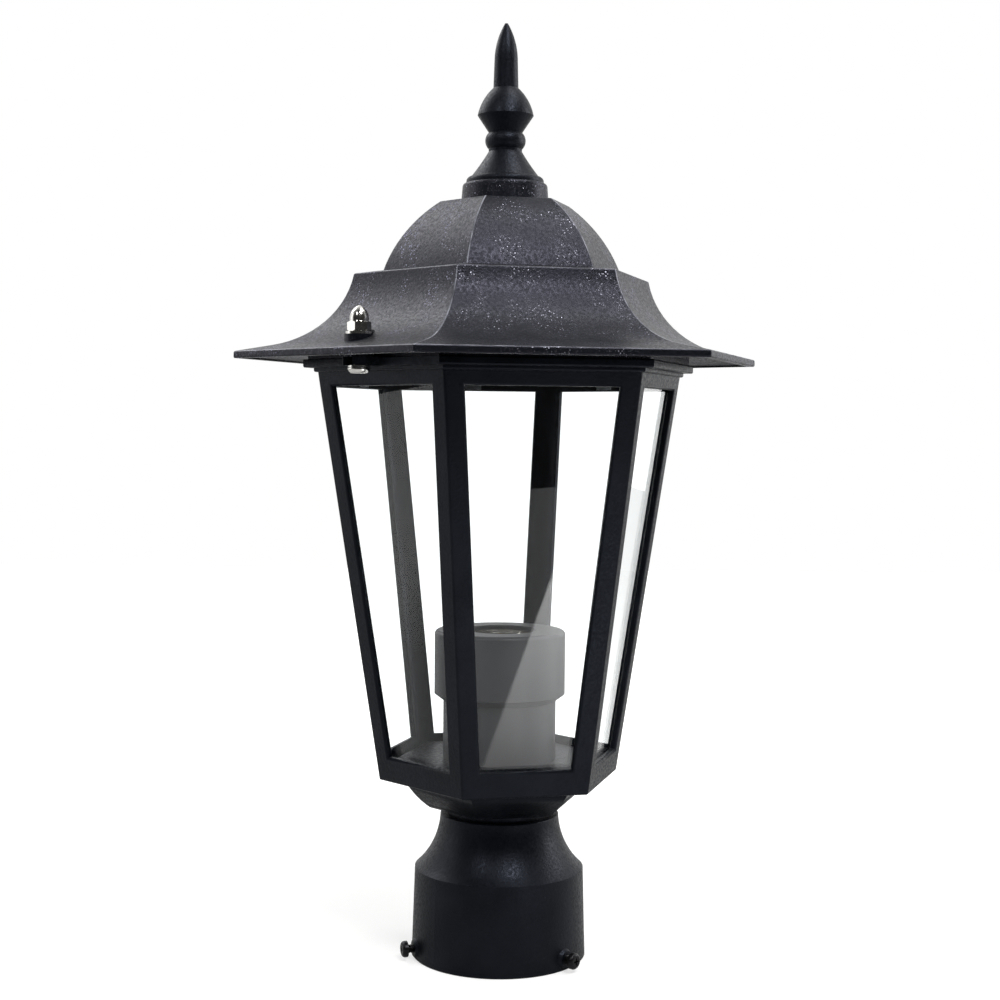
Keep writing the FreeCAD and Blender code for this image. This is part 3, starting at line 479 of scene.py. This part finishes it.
def buildRoof(s):
    inside, outside = roofRings(s)
    corners = [(apothem * hexReach, height) for apothem, height in inside[::-1] + outside]
    outer = corners[len(inside):]
    roof = ringSkin("castRoof", 6, corners, hexTurn)
    # heights of the brim's two edges, the ledge and the dome's top
    crests = [outer[0][1], outer[1][1], outer[s["steps"] + 3][1], outer[-1][1]]

    # hips of the outer skin, and its level edges at the brim, the ledge and the dome's top
    def isArris(edge):
        spots = [(end.co.xy.length, end.co.z) for end in edge.verts]
        for spot in spots:
            if min(abs(spot[0] - ring[0]) + abs(spot[1] - ring[1]) for ring in outer) > 2 * touch:
                return False
        level = math.dist(*spots) < touch
        return not level or min(abs(spots[0][1] - height) for height in crests) < touch

    bpy.ops.object.mode_set(mode="EDIT")
    selectEdges(roof, isArris)
    bpy.ops.mesh.bevel(offset=s["hip"], segments=3, profile=0.5, affect="EDGES", clamp_overlap=True)
    bpy.ops.mesh.select_all(action="SELECT")
    bpy.ops.mesh.remove_doubles(threshold=touch)
    bpy.ops.object.mode_set(mode="OBJECT")

    # seat ring under the brim, which meets the top of the cage
    low, high = s["seat"], outside[-1][1]
    seatRings = [(s["seatInner"], low), (s["seatOuter"], low),
                 (s["seatOuter"], low + s["seatHeight"]), (s["seatInner"], low + s["seatHeight"])]
    seatCorners = [(apothem * hexReach, height) for apothem, height in seatRings]
    seat = ringSkin("seatRing", 6, seatCorners, hexTurn, tube=True)
    bpy.ops.object.mode_set(mode="EDIT")
    selectEdges(seat, lambda edge: max(heights(edge)) - min(heights(edge)) > touch)
    bpy.ops.mesh.bevel(offset=s["seatCorner"], segments=3, profile=0.5, affect="EDGES")
    bpy.ops.object.mode_set(mode="OBJECT")
    combine(roof, seat, "UNION")
    # a level pad with a hole for each bolt, front and back
    for side in (-1, 1):
        spot = (0, side * s["bolt"])
        padTop = low + s["padHeight"]
        combine(roof, addStud("boltPad", s["pad"], low, padTop + s["padSpare"], spot), "UNION")
        face = addStud("spotFace", s["pad"] + s["faceSpare"], padTop, padTop + s["faceHeight"], spot)
        combine(roof, face, "DIFFERENCE")
        hole = addStud("boltHole", s["hole"], low - s["sunk"], padTop + s["drillPast"], spot)
        combine(roof, hole, "DIFFERENCE")
    # crown under the finial, sunk a little into the dome's top, and the hole for the finial's screw
    top = high + s["crownHeight"]
    crown = addStud("crown", s["crown"], high - s["sunk"], top, (0, 0), s["crownTop"], s["crownEdge"])
    combine(roof, crown, "UNION")
    hole = addStud("finialHole", s["hole"], high - s["drillPast"], top + s["crownHeight"], (0, 0))
    combine(roof, hole, "DIFFERENCE")
    return roof


handOver(buildRoof(roofSet), roofSet["smoothAngle"], roofCoat, "roof", "roof_top")
print("roof modelled")


# cast cage: the node's own shape, merged, with its long arrises softened so that they catch the light
cageSet = {
    "merge": 0.002 * mm, "flat": 0.3, "shortest": 25 * mm, "sharp": 35, "onCorner": 0.1,
    "leg": 0.7 * mm, "frame": 0.35 * mm, "smoothAngle": 32,
}


def buildCage(s):
    node = nodes["lantern_cage"]
    cage = node.copy()
    cage.data = node.data.copy()
    cage.name = "castCage"
    bpy.context.collection.objects.link(cage)
    choose(cage)
    bpy.ops.object.mode_set(mode="EDIT")
    bpy.ops.mesh.select_all(action="SELECT")
    bpy.ops.mesh.remove_doubles(threshold=s["merge"])
    bpy.ops.mesh.dissolve_limited(angle_limit=math.radians(s["flat"]))

    # long outward edges; a leg's own one climbs along a corner of the hexagon
    def isLong(edge):
        if edge.calc_length() <= s["shortest"]:
            return False
        return edge.calc_face_angle_signed() > math.radians(s["sharp"])

    def isLeg(edge):
        turns = [math.degrees(math.atan2(end.co.y, end.co.x)) % 60 for end in edge.verts]
        return isLong(edge) and all(min(turn, 60 - turn) < s["onCorner"] for turn in turns)

    selectEdges(cage, isLeg)
    bpy.ops.mesh.bevel(offset=s["leg"], segments=3, profile=0.5, affect="EDGES")
    selectEdges(cage, isLong)
    bpy.ops.mesh.bevel(offset=s["frame"], segments=2, profile=0.5, affect="EDGES")
    bpy.ops.object.mode_set(mode="OBJECT")
    return cage


handOver(buildCage(cageSet), cageSet["smoothAngle"], powder, "lantern_cage", "lantern_body")
print("cage softened")


# set screws: a pan head with a driving cross, ridges along the shank for the turns of its thread
setScrewSet = {
    "turns": {"right_screw": 5.3, "rear_screw": 125.3, "left_screw": 245.3}, "height": 4.7 * mm,
    "tip": 31.5 * mm, "tipShare": 0.8, "tipLength": 0.25 * mm, "bearing": 39.37 * mm,
    "crest": 1.75 * mm, "root": 1.4 * mm, "pitch": 0.7 * mm, "plain": 0.3 * mm,
    "head": 3.3 * mm, "headHeight": 2.3 * mm, "side": 0.45, "flat": 0.6, "steps": 6, "sides": 40,
    "crossWidth": 0.9 * mm, "crossSpan": 3.63 * mm, "crossDepth": 1.2 * mm, "crossFoot": 0.6,
    "smoothAngle": 35,
}


def buildSetScrew(s):
    rings = [(s["tipShare"] * s["root"], s["tip"]), (s["root"], s["tip"] + s["tipLength"])]
    height = rings[-1][1]
    while height + s["pitch"] < s["bearing"] - s["plain"]:
        # one ridge: from the root over a narrow flat crest, at shares of the pitch
        for radius, share in ((s["root"], 0.1), (s["crest"], 0.45), (s["crest"], 0.55), (s["root"], 0.9)):
            rings.append((radius, height + share * s["pitch"]))
        height += s["pitch"]
    rings += [(s["root"], s["bearing"]), (s["head"], s["bearing"])]
    top = s["bearing"] + s["headHeight"]
    side = s["bearing"] + s["side"] * s["headHeight"]
    for step in range(s["steps"] + 1):
        angle = math.radians(90 * step / s["steps"])
        reach = s["head"] * (s["flat"] + (1 - s["flat"]) * math.cos(angle))
        rings.append((reach, side + (top - side) * math.sin(angle)))
    screw = ringSkin("setScrew", s["sides"], rings)
    # two bars cut the cross, each narrower at its foot
    for turn in (0, 90):
        bpy.ops.object.select_all(action="DESELECT")
        bpy.ops.mesh.primitive_cube_add(size=1, location=(0, 0, top), rotation=(0, 0, math.radians(turn)),
                                        scale=(s["crossSpan"], s["crossWidth"], 2 * s["crossDepth"]))
        bar = bpy.context.object
        bpy.ops.object.transform_apply(location=True, rotation=True, scale=True)
        bpy.ops.object.mode_set(mode="EDIT")
        selectEdges(bar, lambda edge: max(heights(edge)) < top)
        foot = (0, 0, top - s["crossDepth"])
        bpy.ops.transform.resize(value=(s["crossFoot"], s["crossFoot"], 1), center_override=foot)
        bpy.ops.object.mode_set(mode="OBJECT")
        combine(screw, bar, "DIFFERENCE")
    return screw


def placeSetScrews(s):
    screw = buildSetScrew(s)
    for number, (body, turn) in enumerate(s["turns"].items(), 1):
        copy = screw.copy()
        copy.data = screw.data.copy()
        copy.name = "setScrew%d" % number
        bpy.context.collection.objects.link(copy)
        choose(copy)
        # laid on its side, turned to its place round the collar and lifted
        laid = Matrix.Rotation(math.radians(90), 4, "Y")
        around = Matrix.Rotation(math.radians(turn), 4, "Z")
        copy.matrix_world = Matrix.Translation((0, 0, s["height"])) @ around @ laid
        bpy.ops.object.transform_apply(location=True, rotation=True, scale=True)
        handOver(copy, s["smoothAngle"], blackSteel, "set_screw_%d" % number, body)
    bpy.data.objects.remove(screw, do_unlink=True)


placeSetScrews(setScrewSet)
print("set screws modelled")


# screw shell of the lamp holder: thin sheet rolled to a round thread
shellSet = {
    "low": 107.5 * mm, "high": 133.4 * mm, "outer": 13.7 * mm, "sheet": 0.4 * mm, "hole": 8.2 * mm,
    "pitch": 3.63 * mm, "depth": 0.9 * mm, "steps": 12, "corner": 1.0 * mm, "sides": 72, "smoothAngle": 40,
}


def buildShell(s):
    wall = []
    turns = (s["high"] - s["low"] - 2 * s["corner"]) / s["pitch"]
    count = round(turns * s["steps"])
    for step in range(count + 1):
        wave = 0.5 - 0.5 * math.cos(2 * math.pi * step / s["steps"])
        height = s["low"] + s["corner"] + turns * s["pitch"] * step / count
        wall.append((s["outer"] - s["depth"] * wave, height))
    # the floor round its hole, the outside, the rim, and back down the inside
    foot = s["outer"] - s["corner"]
    rings = [(s["hole"], s["low"]), (foot, s["low"])]
    rings += wall
    rings += [(wall[-1][0], s["high"]), (wall[-1][0] - s["sheet"], s["high"])]
    rings += [(radius - s["sheet"], height) for radius, height in reversed(wall)]
    rings += [(foot - s["sheet"], s["low"] + s["sheet"]), (s["hole"], s["low"] + s["sheet"])]
    return ringSkin("rolledShell", s["sides"], rings, tube=True)


handOver(buildShell(shellSet), shellSet["smoothAngle"], nickel, "screw_shell", "lantern_body")
print("screw shell modelled")


# white studio: a pale table that ends in front of the camera, white behind, a dim room in front
studioSet = {
    "floor": "#b9b9b8", "width": 3.0, "frontEdge": 0.605, "backEdge": 1.8, "drop": 0.05 * mm,
    "near": 0.1, "far": 0.4, "nearGlow": 0.55, "farGlow": 1.0, "behind": 0.05,
    "mirrored": "#989898", "mirroredLeft": "#4a4a4a", "leftFrom": -0.1, "leftTo": -0.4,
    "ambient": 0.5, "frontGlow": 0.03, "backGlow": 1.0, "throughGlow": 1.35,
    "shineFrom": -0.5, "mirrorFrom": 0.25, "brightFrom": 0.6,
}


# turns a place in the camera's frame (right, away, up) into the object's frame
def fromCamera(right, away, up):
    return Matrix.Rotation(math.radians(cameraSet["azimuth"]), 4, "Z") @ Vector((right, away, up))


# 1 for a ray from the camera that nothing has thrown back, so that it has only gone through panes
def straightLook(tree, ray):
    bounces = addNode(tree, "Math", {"operation": "ADD"}, {
        0: ray.outputs["Diffuse Depth"], 1: ray.outputs["Glossy Depth"],
    })
    return addNode(tree, "Math", {"operation": "LESS_THAN", 1: 0.5}, {0: bounces})


def tableFinish(s):
    material, tree = newMaterial("paleStudioTable")
    place = addNode(tree, "TexCoord").outputs["Object"]
    ray = addNode(tree, "LightPath")
    reach = addNode(tree, "VectorMath", {"operation": "LENGTH"}, {"Vector": place})
    glow = addNode(tree, "MapRange", {
        "interpolation_type": "SMOOTHSTEP", "From Min": s["near"], "From Max": s["far"],
        "To Min": s["nearGlow"], "To Max": s["farGlow"],
    }, {"Value": reach})
    # a straight look through a pane sees the glow as the camera does, light thrown back sees it only behind
    away = addNode(tree, "VectorMath", {"operation": "DOT_PRODUCT", 1: fromCamera(0, 1, 0)}, {0: place})
    behind = addNode(tree, "MapRange", {"From Max": s["behind"]}, {"Value": away})
    straight = straightLook(tree, ray)
    passed = ray.outputs["Is Transmission Ray"]
    share = addNode(tree, "Math", {"operation": "MAXIMUM"}, {0: straight, 1: behind})
    panes = addNode(tree, "Math", {"operation": "MULTIPLY"}, {0: passed, 1: share})
    seen = addNode(tree, "Math", {"operation": "MAXIMUM"}, {0: ray.outputs["Is Camera Ray"], 1: panes})
    strength = addNode(tree, "Math", {"operation": "MULTIPLY"}, {0: glow, 1: seen})
    # both faces of a pane mirror a greyer table than the one that lights the object, the greyest on the left
    thrown = addNode(tree, "Math", {"operation": "SUBTRACT"}, {0: passed, 1: straight})
    either = addNode(tree, "Math", {"operation": "MAXIMUM"}, {0: ray.outputs["Is Reflection Ray"], 1: thrown})
    mirror = addNode(tree, "Math", {"operation": "MULTIPLY"}, {0: ray.outputs["Is Singular Ray"], 1: either})
    aside = addNode(tree, "VectorMath", {"operation": "DOT_PRODUCT", 1: fromCamera(1, 0, 0)}, {0: place})
    left = addNode(tree, "MapRange", {"From Min": s["leftFrom"], "From Max": s["leftTo"]}, {"Value": aside})
    greyer = addNode(tree, "Mix", {
        "data_type": "RGBA", 6: hexColour(s["mirrored"]), 7: hexColour(s["mirroredLeft"]),
    }, {"Factor": left})
    tone = addNode(tree, "Mix", {"data_type": "RGBA", 6: hexColour(s["floor"])}, {
        "Factor": mirror, 7: greyer,
    })
    shader = addNode(tree, "BsdfPrincipled", {
        "Roughness": 0.9, "Specular IOR Level": 0.1, "Emission Color": (1, 1, 1, 1),
    }, {"Base Color": tone, "Emission Strength": strength})
    addNode(tree, "OutputMaterial", {}, {"Surface": shader})
    return material


def addTable(s):
    bpy.ops.object.select_all(action="DESELECT")
    bpy.ops.mesh.primitive_plane_add(size=1)
    floor = bpy.context.object
    floor.name = "studioTable"
    for corner in floor.data.vertices:
        away = s["backEdge"] if corner.co.y > 0 else -s["frontEdge"]
        corner.co = fromCamera(corner.co.x * s["width"], away, -s["drop"])
    floor.data.materials.append(tableFinish(s))


def addRoom(s):
    world = bpy.context.scene.world or bpy.data.worlds.new("studioWorld")
    bpy.context.scene.world = world
    world.use_nodes = True
    tree = world.node_tree
    tree.nodes.clear()
    ray = addNode(tree, "LightPath")
    place = addNode(tree, "TexCoord").outputs["Generated"]
    away = addNode(tree, "VectorMath", {"operation": "DOT_PRODUCT", 1: fromCamera(0, 1, 0)}, {0: place})
    # what coats and plating see, and what the panes mirror
    rooms = []
    for start, brightest in ((s["shineFrom"], s["backGlow"]), (s["mirrorFrom"], s["throughGlow"])):
        rooms.append(addNode(tree, "MapRange", {
            "interpolation_type": "SMOOTHSTEP", "From Min": start, "From Max": s["brightFrom"],
            "To Min": s["frontGlow"], "To Max": brightest,
        }, {"Value": away}))
    shine = addNode(tree, "Mix", {"data_type": "FLOAT"}, {
        "Factor": ray.outputs["Is Singular Ray"], 2: rooms[0], 3: rooms[1],
    })
    gloss = addNode(tree, "Mix", {"data_type": "FLOAT", 2: s["ambient"]}, {
        "Factor": ray.outputs["Is Glossy Ray"], 3: shine,
    })
    beyond = addNode(tree, "Mix", {"data_type": "FLOAT", 3: s["throughGlow"]}, {
        "Factor": straightLook(tree, ray), 2: rooms[1],
    })
    panes = addNode(tree, "Mix", {"data_type": "FLOAT"}, {
        "Factor": ray.outputs["Is Transmission Ray"], 2: gloss, 3: beyond,
    })
    level = addNode(tree, "Mix", {"data_type": "FLOAT", 3: 1.0}, {
        "Factor": ray.outputs["Is Camera Ray"], 2: panes,
    })
    back = addNode(tree, "Background", {"Color": (1, 1, 1, 1)}, {"Strength": level})
    addNode(tree, "OutputWorld", {}, {"Surface": back})


# bright card low on the right: only the panes and other gloss see it, and its edge is the diagonal in the
# front pane
cardSet = {
    "right": 68 * mm, "away": -189 * mm, "turn": -55.2, "before": 60 * mm, "length": 560 * mm,
    "width": 130 * mm, "height": 2 * mm, "nearGlow": 1.0, "farGlow": 4.3, "glowFrom": 0.1, "glowTo": 0.65,
}


def addCard(s):
    bpy.ops.object.select_all(action="DESELECT")
    bpy.ops.mesh.primitive_plane_add(size=1)
    card = bpy.context.object
    card.name = "reflectorCard"
    along = Vector((math.cos(math.radians(s["turn"])), math.sin(math.radians(s["turn"])), 0))
    across = Vector((-along.y, along.x, 0))
    start = Vector((s["right"], s["away"], 0)) - along * s["before"]
    for corner in card.data.vertices:
        spot = start + along * (corner.co.x + 0.5) * s["length"] + across * (corner.co.y + 0.5) * s["width"]
        corner.co = fromCamera(spot.x, spot.y, s["height"])
    material, tree = newMaterial("glowingCard")
    place = addNode(tree, "TexCoord").outputs["Generated"]
    shares = addNode(tree, "SeparateXYZ", {}, {"Vector": place})
    glow = addNode(tree, "MapRange", {
        "From Min": s["glowFrom"], "From Max": s["glowTo"], "To Min": s["nearGlow"], "To Max": s["farGlow"],
    }, {"Value": shares.outputs["X"]})
    light = addNode(tree, "Emission", {}, {"Strength": glow})
    addNode(tree, "OutputMaterial", {}, {"Surface": light})
    card.data.materials.append(material)
    card.visible_camera = False
    card.visible_diffuse = False
    card.visible_shadow = False


# softboxes aimed at the lantern's middle: turn is degrees to the right of the camera, seen from the object
lampSet = {
    "keyBox": {"turn": 27, "distance": 1.0, "height": 1.35, "width": 0.45, "tall": 0.45, "power": 13},
    "leftBox": {"turn": -92, "distance": 1.0, "height": 0.47, "width": 0.5, "tall": 0.7, "power": 1.2},
    "backLeftBox": {"turn": -128, "distance": 0.9, "height": 1.0, "width": 0.7, "tall": 0.7, "power": 4.5},
    "rightBox": {"turn": 105, "distance": 1.0, "height": 0.5, "width": 0.4, "tall": 0.9, "power": 4.5},
    "hipBox": {"turn": -33, "distance": 1.0, "height": 1.1, "width": 0.12, "tall": 0.35, "power": 3},
    "topBox": {"turn": 75, "distance": 0.42, "height": 1.3, "width": 0.5, "tall": 0.5, "power": 5},
}
lampTarget = Vector((0, 0, 0.2))


def addLamps(s):
    for name, lamp in s.items():
        angle = math.radians(lamp["turn"])
        right, away = lamp["distance"] * math.sin(angle), -lamp["distance"] * math.cos(angle)
        spot = fromCamera(right, away, lamp["height"])
        bpy.ops.object.light_add(type="AREA", location=spot)
        light = bpy.context.object
        light.name = name
        light.data.shape = "RECTANGLE"
        light.data.size = lamp["width"]
        light.data.size_y = lamp["tall"]
        light.data.energy = lamp["power"]
        light.rotation_euler = (lampTarget - spot).to_track_quat("-Z", "Y").to_euler()


addTable(studioSet)
addRoom(studioSet)
addCard(cardSet)
addLamps(lampSet)
bpy.context.scene.view_settings.view_transform = "Standard"
print("studio lit")
